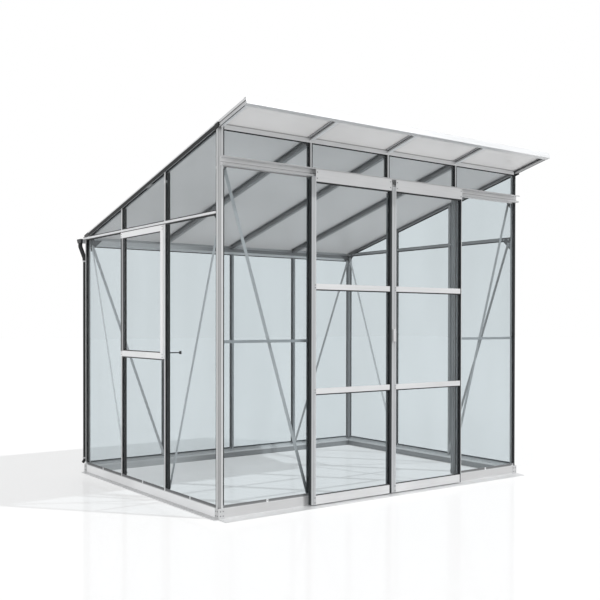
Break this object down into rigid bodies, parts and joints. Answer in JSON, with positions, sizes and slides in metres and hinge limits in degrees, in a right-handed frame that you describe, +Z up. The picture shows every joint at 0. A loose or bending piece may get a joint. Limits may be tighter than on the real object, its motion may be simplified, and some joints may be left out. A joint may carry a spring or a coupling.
{
  "type": "glass greenhouse",
  "caption": "Free-standing pent-roof glass greenhouse with an aluminium frame, a sheeted sloping roof with a front canopy, sliding double doors, a side window, gutter and downpipes.",
  "frame": {"origin": "floor level, at the centre of the footprint of the whole greenhouse, canopy and gutter included", "axes": "+X along the tall front wall to the right of a person facing the doors, +Y from the front wall to the low back wall, +Z up"},
  "size_m": [3.11, 2.716, 2.7505],
  "materials": {
    "frame_alu": "satin",
    "edge_alu": "satin",
    "base_alu": "satin",
    "wall_glass": "clear",
    "roof_sheet": "frosted twin-wall",
    "black_rubber": "matte",
    "black_plastic": "matte",
    "grey_plastic": "matte",
    "pale_plastic": "matte",
    "pipe_plastic": "satin"
  },
  "bodies": {
    "house": {"back_beam": "frame_alu", "back_mullions": "frame_alu", "base_back": "base_alu", "base_corner_plates": "base_alu", "base_front": "base_alu", "base_sides": "base_alu", "canopy_edge": "edge_alu", "corner_posts": "frame_alu", "door_header": "frame_alu", "door_step": "base_alu", "door_track": "frame_alu", "downpipes": "pipe_plastic", "front_beam": "frame_alu", "front_mullions": "frame_alu", "gable_mullions": "frame_alu", "gable_rails": "frame_alu", "gaskets": "black_rubber", "glass_back": "wall_glass", "glass_front": "wall_glass", "glass_gables": "wall_glass", "glass_sides": "wall_glass", "glass_transom": "wall_glass", "gussets": "frame_alu", "gutter": "frame_alu", "gutter_caps": "black_plastic", "mid_rails": "frame_alu", "pipe_clips": "pale_plastic", "rafter_trims": "black_plastic", "rafters": "frame_alu", "roof_sheets": "roof_sheet", "wind_braces": "frame_alu", "window_glass": "wall_glass", "window_sash": "frame_alu", "window_stay": "black_plastic"},
    "left_door": {"left_stiles": "frame_alu", "left_rails": "frame_alu", "left_top_plate": "frame_alu", "left_glass": "wall_glass", "left_rollers": "grey_plastic"},
    "right_door": {"right_stiles": "frame_alu", "right_rails": "frame_alu", "right_top_plate": "frame_alu", "right_glass": "wall_glass", "right_rollers": "grey_plastic", "door_handle": "pale_plastic"}
  },
  "joints": [
    {"name": "left_door_slide", "type": "slide", "parent": "house", "child": "left_door", "axis": [-1, 0, 0], "range_m": [0, 0.72]},
    {"name": "right_door_slide", "type": "slide", "parent": "house", "child": "right_door", "axis": [1, 0, 0], "range_m": [0, 0.72]}
  ]
}
